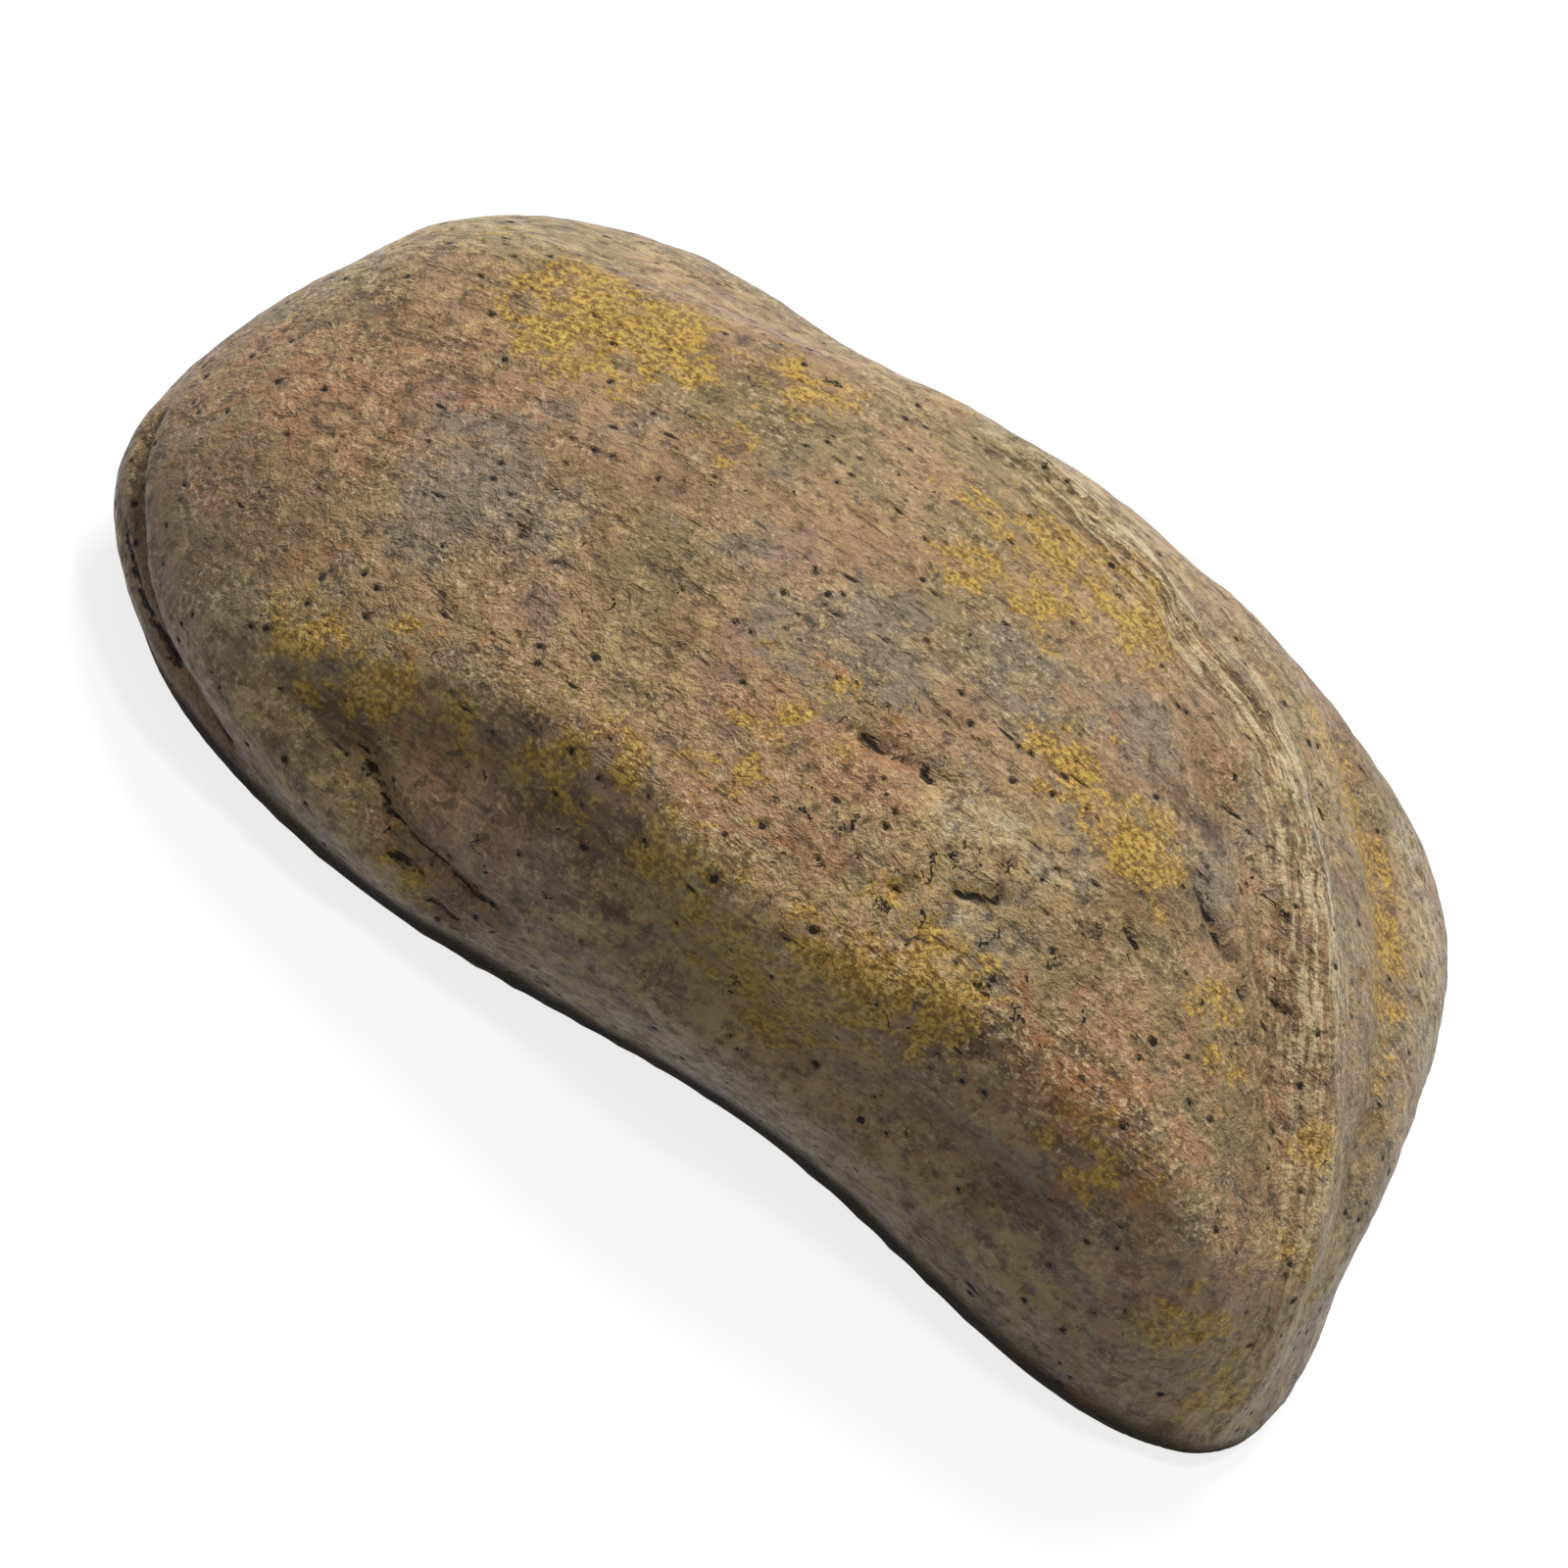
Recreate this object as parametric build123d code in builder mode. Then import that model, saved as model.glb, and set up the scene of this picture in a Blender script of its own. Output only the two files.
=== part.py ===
from build123d import *

import os
from math import atan2, cos, hypot, pi, radians, sin, tan

os.makedirs("parts", exist_ok=True)

# A cast rock with a pocket in its flat base, and the key that lies in the pocket. Millimetres.
# The rock stands on the plane z = 0. +X runs along it to the blunt end, +Y to the far side.

# ---- rock: overall size ----
rock_length = 120.0
rock_width = 82.0
rock_height = 41.0

# ---- pocket in the base ----
pocket_x = 6.2  # its centre, from the middle of the rock
pocket_y = -1.4
pocket_depth = 21.0
pocket_draft = 4.0  # degrees, so that the casting leaves its mould
pocket_corner_radius = 2.5
pocket_ceiling_radius = 3.0
pocket_mouth_radius = 0.6

# ---- key ----
key_turn = 17.5  # degrees, how far it lies askew in the pocket
key_thickness = 2.0
bow_width = 25.0
bow_point_length = 5.6
bow_side_length = 13.6
bow_neck_length = 3.2
bow_corner_radius = 1.8
spine_stop_length = 3.5
spine_stop_reach = 7.3  # from the key's middle line, as all reaches are
shoulder_length = 4.9
shoulder_reach = 6.7
shoulder_step = 1.5
ramp_length = 5.4
blade_length = 34.6
blade_spine_reach = 5.3
blade_edge_reach = 3.4
tip_length = 3.2
tip_reach = 2.6
eye_start = 3.5
eye_length = 5.2
eye_width = 16.4
eye_end_length = 1.4
bow_border = 1.2
bow_recess = 0.15
plaque_start = 11.7
plaque_length = 5.0
plaque_width = 17.6
plaque_end_length = 2.4
plaque_end_width = 2.2
groove_width = 1.6
groove_depth = 0.6
groove_reaches = (-3.3, 0.6)
cut_start = 11.6  # from the bow to the first cut's middle
cut_pitch = 4.3
cut_flat = 1.2
cut_depths = (1.9, 1.3, 1.1, 0.8, 0.8)

# ---- fit of the key in the pocket ----
key_clearance = 0.3  # at the tip, which rests nearly against the end wall
bow_play = 3.0
side_play = 4.2


# ---- rock: its level lines ----
# The base's outline as drawn, anticlockwise from the blunt end's near corner.
drawn_length = 120.6
drawn_width = 82.5
drawn_height = 41.0
drawn_middle = (-2.2, 0.4)
base_outline = (
    (56.5, -24.5), (58.0, -9.0), (56.0, 8.0), (54.0, 25.0), (49.0, 37.5),
    (39.0, 41.5), (25.0, 38.5), (8.0, 39.5), (-7.0, 34.5), (-24.0, 32.5),
    (-42.0, 31.0), (-54.0, 19.0), (-58.5, 2.0), (-57.0, -19.0), (-42.0, -32.5),
    (-21.0, -36.0), (-1.0, -32.5), (13.0, -31.0), (29.0, -33.0), (47.0, -33.0),
)
oval_half_length = 58.0
oval_half_width = 38.0
oval_centre = (0.5, 1.5)
crown = (-1.0, 1.0)

# Each level line: its height, its size as a share of the outline about the crown, how much of it has turned from the
# outline to the oval, and how far it then stands out, in twelve directions anticlockwise from +X.
levels = (
    (0.0, 1.00, 0.00, (-1.8, -1.8, -1.8, -1.8, -1.8, -1.8, -1.8, -1.8, -1.8, -1.8, -1.8, -1.8)),
    (2.5, 1.00, 0.00, (0, 0, 0, 0, 0, 0, 0, 0, 0, 0, 0, 0)),
    (9.0, 1.00, 0.10, (-1.5, 0, 0, -0.5, -1, 0.5, 2.5, 4, 3, 4, 4, -1.5)),
    (18.0, 0.97, 0.25, (-2, -2, -2, 0, -2, 2, 4.5, 5, 4.5, 8, 8, -1)),
    (26.0, 0.88, 0.45, (-5.5, -6, -3.5, 0.5, -3.5, 3, 6.5, 4.5, 5, 10, 9.5, -1)),
    (33.0, 0.70, 0.70, (-8, -6, -2.5, -1.5, -5, -0.5, 8, 3.5, 5, 9.5, 8.5, -1)),
    (38.0, 0.45, 1.00, (-6, -5, -0.5, -1.5, -1.5, -1, 5, 1.5, 4.5, 7, 6.5, 0)),
    (40.3, 0.24, 1.00, (0, 0, 0, 0, 0, 0, 0, 0, 0, 0, 0, 0)),
    (41.0, 0.10, 1.00, (0, 0, 0, 0, 0, 0, 0, 0, 0, 0, 0, 0)),
)


# How far round the outline each of its points lies. All level lines share these places, so that the skin runs evenly.
outline_places = [0.0]
for start, end in zip(base_outline, base_outline[1:] + base_outline[:1]):
    outline_places.append(outline_places[-1] + hypot(end[0] - start[0], end[1] - start[1]))


def reach_at(reaches, direction):
    """The reach in any direction, eased between the two nearest that are given."""
    place = (direction / (2 * pi) * len(reaches)) % len(reaches)
    first = int(place)
    share = place - first
    share = share * share * (3 - 2 * share)
    return reaches[first] * (1 - share) + reaches[(first + 1) % len(reaches)] * share


def level_line(size, turned, reaches):
    """The points of one level line of the rock, stretched to the overall size."""
    points = []
    for x, y in base_outline:
        direction = atan2((y - oval_centre[1]) / oval_half_width, (x - oval_centre[0]) / oval_half_length)
        oval_x = oval_centre[0] + oval_half_length * cos(direction)
        oval_y = oval_centre[1] + oval_half_width * sin(direction)
        mixed_x = x + (oval_x - x) * turned
        mixed_y = y + (oval_y - y) * turned
        reach = reach_at(reaches, direction)
        point_x = crown[0] + (mixed_x - crown[0]) * size + reach * cos(direction)
        point_y = crown[1] + (mixed_y - crown[1]) * size + reach * sin(direction)
        stretched_x = (point_x - drawn_middle[0]) * rock_length / drawn_length
        stretched_y = (point_y - drawn_middle[1]) * rock_width / drawn_width
        points.append((stretched_x, stretched_y))
    return points


# ---- key: its outlines, along the key from the bow's point and to its left ----
bow_length = bow_point_length + bow_side_length + bow_neck_length
key_length = bow_length + blade_length
bow_outline = (
    (0, 0),
    (bow_point_length, -bow_width / 2),
    (bow_point_length + bow_side_length, -bow_width / 2),
    (bow_length, -shoulder_reach),
    (bow_length, shoulder_reach),
    (bow_point_length + bow_side_length, bow_width / 2),
    (bow_point_length, bow_width / 2),
)
eye_outline = (
    (eye_start, 0),
    (eye_start + eye_length - eye_end_length, -eye_width / 2),
    (eye_start + eye_length, -eye_width / 2),
    (eye_start + eye_length, eye_width / 2),
    (eye_start + eye_length - eye_end_length, eye_width / 2),
)
plaque_outline = (
    (plaque_start, -plaque_width / 2 + plaque_end_length),
    (plaque_start + plaque_length / 2 - plaque_end_width / 2, -plaque_width / 2),
    (plaque_start + plaque_length / 2 + plaque_end_width / 2, -plaque_width / 2),
    (plaque_start + plaque_length, -plaque_width / 2 + plaque_end_length),
    (plaque_start + plaque_length, plaque_width / 2 - plaque_end_length),
    (plaque_start + plaque_length / 2 + plaque_end_width / 2, plaque_width / 2),
    (plaque_start + plaque_length / 2 - plaque_end_width / 2, plaque_width / 2),
    (plaque_start, plaque_width / 2 - plaque_end_length),
)
blade_outline = (
    (bow_length - bow_neck_length, -spine_stop_reach),
    (bow_length + spine_stop_length, -spine_stop_reach),
    (bow_length + spine_stop_length, -blade_spine_reach),
    (key_length - tip_length / 2, -blade_spine_reach),
    (key_length, -tip_reach),
    (key_length, 0),
    (key_length - tip_length, blade_edge_reach),
    (bow_length + shoulder_length + ramp_length, blade_edge_reach),
    (bow_length + shoulder_length, shoulder_reach - shoulder_step),
    (bow_length + shoulder_length, shoulder_reach),
    (bow_length - bow_neck_length, shoulder_reach),
)

# ---- the pocket is sized from the key that lies askew in it ----
turn = radians(key_turn)
key_along = [u * cos(turn) - w * sin(turn) for u, w in bow_outline + blade_outline]
key_across = [u * sin(turn) + w * cos(turn) for u, w in bow_outline + blade_outline]
tip_gap = key_clearance + key_thickness * tan(radians(pocket_draft))
pocket_length = max(key_along) - min(key_along) + tip_gap + bow_play
pocket_width = max(key_across) - min(key_across) + 2 * side_play
key_x = pocket_x + pocket_length / 2 - tip_gap - max(key_along)
key_y = pocket_y - (max(key_across) + min(key_across)) / 2


# ---- rock ----
with BuildPart() as rock_casting:
    for height, size, turned, reaches in levels:
        with BuildSketch(Plane.XY.offset(height * rock_height / drawn_height)):
            with BuildLine():
                add(Edge.make_spline(level_line(size, turned, reaches), periodic=True, parameters=outline_places))
            make_face()
    loft()
    with BuildSketch(Plane.XY):
        with Locations((pocket_x, pocket_y)):
            RectangleRounded(pocket_length, pocket_width, pocket_corner_radius)
    extrude(amount=pocket_depth, taper=pocket_draft, mode=Mode.SUBTRACT)
    ceiling_edges = rock_casting.edges().filter_by_position(Axis.Z, pocket_depth, pocket_depth)
    fillet(ceiling_edges, radius=pocket_ceiling_radius)
    base = rock_casting.faces().sort_by(Axis.Z)[0]
    fillet(base.inner_wires().edges(), radius=pocket_mouth_radius)
rock_casting.part.label = "rock_casting"

# ---- key ----
key_plane = Plane(origin=(key_x, key_y, 0), x_dir=(cos(turn), sin(turn), 0), z_dir=(0, 0, 1))
with BuildPart() as spare_key:
    with BuildSketch(key_plane) as key_outline:
        Polygon(*bow_outline, align=None)
        fillet(key_outline.vertices(), radius=bow_corner_radius)
        Polygon(*blade_outline, align=None)
        Polygon(*eye_outline, align=None, mode=Mode.SUBTRACT)
        for number, depth in enumerate(cut_depths):
            cut_middle = bow_length + cut_start + number * cut_pitch
            cut_outline = (
                (cut_middle - cut_flat / 2 - depth, blade_edge_reach),
                (cut_middle - cut_flat / 2, blade_edge_reach - depth),
                (cut_middle + cut_flat / 2, blade_edge_reach - depth),
                (cut_middle + cut_flat / 2 + depth, blade_edge_reach),
            )
            Polygon(*cut_outline, align=None, mode=Mode.SUBTRACT)
    extrude(amount=key_thickness)
    # both faces alike: the bow's sunk field round its bare plaque, and the blade's grooves
    for face_plane, inward in ((key_plane, 1), (key_plane.offset(key_thickness), -1)):
        with BuildSketch(face_plane) as field:
            Polygon(*bow_outline, align=None)
            fillet(field.vertices(), radius=bow_corner_radius)
            offset(amount=-bow_border)
            with BuildSketch(face_plane, mode=Mode.SUBTRACT):
                Polygon(*eye_outline, align=None)
                offset(amount=bow_border)
            Polygon(*plaque_outline, align=None, mode=Mode.SUBTRACT)
        extrude(amount=inward * bow_recess, mode=Mode.SUBTRACT)
        with BuildSketch(face_plane):
            for reach in groove_reaches:
                with Locations((bow_length + blade_length / 2, reach)):
                    Rectangle(blade_length, groove_width)
        extrude(amount=inward * groove_depth, mode=Mode.SUBTRACT)
spare_key.part.label = "spare_key"

export_step(rock_casting.part, "parts/rock_casting.step")
export_step(spare_key.part, "parts/spare_key.step")
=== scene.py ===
from math import cos, radians, sin

import bmesh
import bpy
import numpy as np
from mathutils import Matrix, Vector


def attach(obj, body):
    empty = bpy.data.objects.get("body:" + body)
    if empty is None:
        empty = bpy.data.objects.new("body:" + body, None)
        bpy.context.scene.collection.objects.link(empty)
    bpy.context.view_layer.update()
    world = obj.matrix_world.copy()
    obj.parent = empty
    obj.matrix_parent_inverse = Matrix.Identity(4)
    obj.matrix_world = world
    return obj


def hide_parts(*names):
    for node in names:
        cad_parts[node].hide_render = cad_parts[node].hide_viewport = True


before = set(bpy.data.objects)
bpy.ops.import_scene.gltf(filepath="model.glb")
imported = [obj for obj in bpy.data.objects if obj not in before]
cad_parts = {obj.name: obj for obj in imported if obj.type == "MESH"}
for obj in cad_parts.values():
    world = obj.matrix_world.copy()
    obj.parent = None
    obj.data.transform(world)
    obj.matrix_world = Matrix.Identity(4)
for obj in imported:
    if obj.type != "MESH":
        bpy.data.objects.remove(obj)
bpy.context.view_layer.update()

# The rock and its key are in millimetres here, and become metres when a mesh is written.
MM = 0.001


# ---- helpers for node trees ----

def fill(tree, socket, value):
    """Links a socket to another node's output, or gives it a plain value."""
    if isinstance(value, bpy.types.NodeSocket):
        tree.links.new(value, socket)
    else:
        socket.default_value = value


def add(tree, kind, inputs=None, **settings):
    """Adds a node, with its settings, and fills its inputs."""
    node = tree.nodes.new(kind)
    for name, value in settings.items():
        setattr(node, name, value)
    for place, value in (inputs or {}).items():
        fill(tree, node.inputs[place], value)
    return node


def new_group(name, kind, inputs, sizes, outputs):
    """A node group whose sizes are numbers with a first value: its tree, its inputs and its output node."""
    tree = bpy.data.node_groups.new(name, kind)
    for title, socket in inputs.items():
        tree.interface.new_socket(title, in_out="INPUT", socket_type=socket)
    for title, start in sizes.items():
        tree.interface.new_socket(title, in_out="INPUT", socket_type="NodeSocketFloat").default_value = start
    for title, socket in outputs.items():
        tree.interface.new_socket(title, in_out="OUTPUT", socket_type=socket)
    return tree, tree.nodes.new("NodeGroupInput").outputs, tree.nodes.new("NodeGroupOutput")


def calc(tree, operation, first, second, third=None):
    """One step of arithmetic."""
    inputs = {0: first, 1: second}
    if third is not None:
        inputs[2] = third
    return add(tree, "ShaderNodeMath", inputs, operation=operation).outputs[0]


def times(tree, first, *others):
    """The product of its values."""
    for other in others:
        first = calc(tree, "MULTIPLY", first, other)
    return first


def largest(tree, first, *others):
    """The largest of its values."""
    for other in others:
        first = calc(tree, "MAXIMUM", first, other)
    return first


def vector(tree, operation, first, second):
    """One step of vector arithmetic. SCALE takes a vector and a number, the others two vectors."""
    inputs = {0: first, "Scale" if operation == "SCALE" else 1: second}
    return add(tree, "ShaderNodeVectorMath", inputs, operation=operation).outputs[0]


def ease(tree, value, low, high, to_low=0.0, to_high=1.0):
    """A smooth step of value from low to high."""
    inputs = {0: value, 1: low, 2: high, 3: to_low, 4: to_high}
    return add(tree, "ShaderNodeMapRange", inputs, interpolation_type="SMOOTHSTEP").outputs[0]


def noise(tree, place, scale, detail=2.0, roughness=0.5, distortion=0.0, output=0):
    """Soft noise about one half, or with output 1 a vector that wanders."""
    inputs = {"Vector": place, "Scale": scale, "Detail": detail, "Roughness": roughness, "Distortion": distortion}
    return add(tree, "ShaderNodeTexNoise", inputs).outputs[output]


def cells(tree, place, spacing, **settings):
    """Cells about a spacing apart: the distance to the nearest, and that cell's own random colour."""
    inputs = {"Vector": place, "Scale": calc(tree, "DIVIDE", 1.0, spacing)}
    return add(tree, "ShaderNodeTexVoronoi", inputs, **settings).outputs


def mix(tree, share, first, second):
    """The second colour over the first, as thick as its share."""
    return add(tree, "ShaderNodeMix", {0: share, 6: first, 7: second}, data_type="RGBA").outputs[2]


def paint(red, green, blue):
    """A colour written in the usual 0 to 255 steps."""
    return tuple((step / 255) ** 2.2 for step in (red, green, blue)) + (1.0,)


# ---- helpers for meshes ----

def settle(made):
    """Turns what the modifiers show into a plain mesh and removes them."""
    bpy.context.view_layer.update()
    graph = bpy.context.evaluated_depsgraph_get()
    finished = bpy.data.meshes.new_from_object(made.evaluated_get(graph))
    made.modifiers.clear()
    made.data = finished
    finished.name = made.name


def even_copy(node_name, name, spacing, rounds):
    """A closed copy of a CAD node's mesh, with points evenly a spacing apart and edges softened in rounds."""
    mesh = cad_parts[node_name].data.copy()
    mesh.materials.clear()
    work = bmesh.new()
    work.from_mesh(mesh)
    bmesh.ops.remove_doubles(work, verts=work.verts, dist=1e-6)
    work.to_mesh(mesh)
    work.free()
    made = bpy.data.objects.new(name, mesh)
    bpy.context.scene.collection.objects.link(made)
    even = made.modifiers.new("even", "REMESH")
    even.mode = "VOXEL"
    even.voxel_size = spacing * MM
    soften = made.modifiers.new("soften", "SMOOTH")
    soften.factor = 0.5
    soften.iterations = rounds
    settle(made)
    return made


def read_points(mesh):
    """A mesh's points, in millimetres, and its normals there."""
    points = np.empty(len(mesh.vertices) * 3)
    normals = np.empty(len(mesh.vertices) * 3)
    mesh.vertices.foreach_get("co", points)
    mesh.vertex_normals.foreach_get("vector", normals)
    return points.reshape(-1, 3) / MM, normals.reshape(-1, 3)


def store(mesh, name, values, kind="FLOAT"):
    """Keeps a value for each point, which nodes read by its name."""
    kept = mesh.attributes.new(name, kind, "POINT").data
    kept.foreach_set("vector" if kind == "FLOAT_VECTOR" else "value", np.asarray(values, np.float32).ravel())


def surface_tree(name, sizes):
    """A Geometry Nodes tree: it, its inputs, its output node, and each place in millimetres moved by its seed."""
    inputs = {"Geometry": "NodeSocketGeometry", "Material": "NodeSocketMaterial"}
    tree, given, result = new_group(name, "GeometryNodeTree", inputs, sizes, {"Geometry": "NodeSocketGeometry"})
    position = add(tree, "GeometryNodeInputPosition").outputs[0]
    place = vector(tree, "ADD", vector(tree, "SCALE", position, 1 / MM), given["Seed"])
    return tree, given, result, place


def named(tree, name, kind="FLOAT"):
    """A value that was stored for each point, read in a Geometry Nodes tree."""
    return add(tree, "GeometryNodeInputNamedAttribute", {"Name": name}, data_type=kind).outputs[0]


def raise_surface(tree, given, result, height):
    """Ends a tree: moves its surface outwards by a height in millimetres and gives it its material."""
    normal = add(tree, "GeometryNodeInputNormal").outputs[0]
    offset = vector(tree, "SCALE", normal, times(tree, height, MM))
    moved = add(tree, "GeometryNodeSetPosition", {"Geometry": given["Geometry"], "Offset": offset}).outputs[0]
    real = add(tree, "GeometryNodeRealizeInstances", {0: moved}).outputs[0]
    coated = add(tree, "GeometryNodeSetMaterial", {0: real, 2: given["Material"]}).outputs[0]
    tree.links.new(coated, result.inputs[0])


def roughen(made, tree, material):
    """Runs a tree on a piece and leaves a plain mesh."""
    rough = made.modifiers.new(tree.name, "NODES")
    rough.node_group = tree
    for item in tree.interface.items_tree:
        if item.in_out == "INPUT" and item.name == "Material":
            rough[item.identifier] = material
    settle(made)


# ---- the rock's shape ----

# Soft pushes that bring the casting's lumps out: where, how far they reach, and the move.
PUSHES = (
    ((54, -30, 3), 14, (0.6, -1.0, 0)),
    ((58, -2, 12), 12, (-0.6, 0, 0)),
    ((-36, 23, 28), 14, (-0.4, 0.8, 0.9)),
    ((-57, 2, 24), 11, (1.3, 0, -0.6)),
    ((-57, -21, 8), 12, (-1.0, -0.4, 0)),
    ((-46, -29, 5), 11, (-0.6, -0.9, 0)),
)

# The pale rope of fibres that runs over the right end.
ROPE = (
    (-7.2, 11.9, 39.5), (-1.2, 10.8, 40.1), (4.1, 9.4, 40.3), (11.4, 6.5, 40.2), (18.5, 5.7, 38.4),
    (24.2, 5.9, 37), (29.4, 3.6, 35.5), (33.7, -0.8, 34.2), (38.1, -6.3, 32.7), (42.2, -12.4, 30.5),
    (46.4, -18.5, 27.3), (50, -24, 23.4), (52.5, -28, 18.3), (54.4, -28.6, 10.6), (55, -30, 4),
)

# Raised lines and hollows of the skin: how high, how wide, and the points they follow.
RIDGES = (
    # the near shoulder's crest, from the left end to the near right corner, and the flank under it
    (1.4, 3.4, (
        (-49, -31, 10), (-42, -34, 13), (-34, -36, 18), (-29, -37, 21), (-23, -36, 24), (-17, -37, 26),
        (-9, -38, 28), (-4, -39, 27), (6, -40, 26), (12, -39, 26), (20, -37, 28), (27, -37, 27), (34, -36, 27),
        (41, -36, 24), (48, -35, 18),
    )),
    (-1.9, 4.2, (
        (-34, -37, 13), (-26, -39, 16), (-18, -39, 19), (-10, -40, 20), (-2, -41, 19), (6, -40, 17),
        (15, -39, 16), (24, -38, 16), (33, -38, 16), (41, -37, 13),
    )),
    # the rope of fibres, with the smooth brown hollow beside it and the hollow beyond it
    (1.3, 2.6, ROPE),
    (-1.5, 2.6, (
        (20.5, -2.9, 38.9), (26.5, -6.3, 37.4), (31.5, -9.1, 35.8), (36.2, -12.9, 33.6), (40.3, -18.2, 30.9),
        (45, -23.2, 27.5), (48.7, -27.2, 23.6),
    )),
    (-1.2, 3.0, (
        (28, 21, 32), (37, 18, 29), (45, 8, 26), (50, -5, 25), (53, -16, 22), (55, -23, 15),
    )),
    # the toe of the left flank and the fold above it
    (1.0, 3.2, (
        (-44, -33, 10), (-37, -37, 10), (-29, -38, 9), (-23, -38, 7), (-17, -37, 5),
    )),
    (-0.9, 1.4, (
        (-35, -37, 15), (-29, -38, 14), (-26, -39, 13), (-24, -39, 11), (-20, -39, 10), (-16, -39, 10),
        (-13, -39, 11),
    )),
    # the crevice at the left end
    (-1.4, 1.3, (
        (-57, -18, 14), (-56, -22, 12), (-53.5, -26, 10.5), (-49.5, -29.5, 8.6), (-45, -32, 6.6),
        (-40, -34, 5.2),
    )),
    # the shelf of the top and its broken lip
    (0.6, 3.0, (
        (4, -29, 36), (10, -29, 36), (16, -29, 34.5), (22, -27, 35),
    )),
    (-0.7, 1.6, (
        (1, -28, 36), (5, -27.8, 36.2), (9, -27.5, 36.2), (12, -30, 35),
    )),
)

# Thin dark cracks, drawn in the paint and cut a little into the shape.
CRACKS = (
    (
        (-30.6, -38.2, 14.1), (-28.3, -38.6, 13.7), (-26.1, -39, 12.5), (-24, -39.2, 11.3),
        (-22.2, -39.2, 10.6), (-18.3, -39.3, 10.3), (-15.6, -39.3, 10.5),
    ),
    ((-23.7, -38.9, 9.6), (-21.8, -38.8, 8.4), (-19.4, -38.7, 8.3), (-17.2, -38.8, 8.6)),
    ((-18.8, -39, 9.1), (-16.2, -39.1, 9.8), (-13.6, -39.1, 9.9), (-11.1, -39.1, 10.5)),
    ((-18.2, -38.4, 7.4), (-15.5, -37.6, 5.9), (-13.3, -37.5, 6.1)),
    (
        (-57, -18, 14), (-56, -22, 12), (-53.5, -26, 10.5), (-49.5, -29.5, 8.6), (-45, -32, 6.6),
        (-40, -34, 5.2), (-36, -35.5, 4),
    ),
    ((-55.5, -23.5, 9), (-52, -28, 7.4), (-48, -30.6, 6), (-43, -33, 4.6)),
    ((27.2, -16.4, 36.5), (29, -17.2, 35.9), (31.5, -18.2, 34.9), (33.5, -19.1, 34), (34.9, -19.7, 33.3)),
    ((36.2, -19.6, 32.8), (37.6, -20.4, 32)),
    ((39.4, -21, 31), (40.8, -21.6, 30.2)),
    ((42.4, -22, 29), (43.4, -22.5, 28.4)),
    ((32.6, 7.2, 33.5), (34.5, 6.8, 32.5), (35.9, 6.3, 31.8)),
    ((25.5, -25.2, 35.2), (27, -25.8, 34.7), (29.2, -26.6, 33.9)),
    ((19, -27.8, 35), (19.8, -27.6, 35)),
    ((13.3, -33.2, 32.6), (14.8, -32.7, 32.8), (16.3, -31.7, 33.2), (19, -30.9, 33.4)),
    ((1.4, -28.4, 36.1), (2.8, -27.8, 36.3), (5.1, -27.8, 36.2)),
    ((6.6, -27.2, 36.4), (7.3, -26.9, 36.5), (8.7, -27.7, 36.1)),
    ((19.3, -36.2, 29.1), (21, -35.5, 29.6)),
    ((-28.5, -26, 32), (-27, -27, 31.8)),
    ((10.6, -34.4, 31.6), (11.6, -35, 31)),
)

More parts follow.
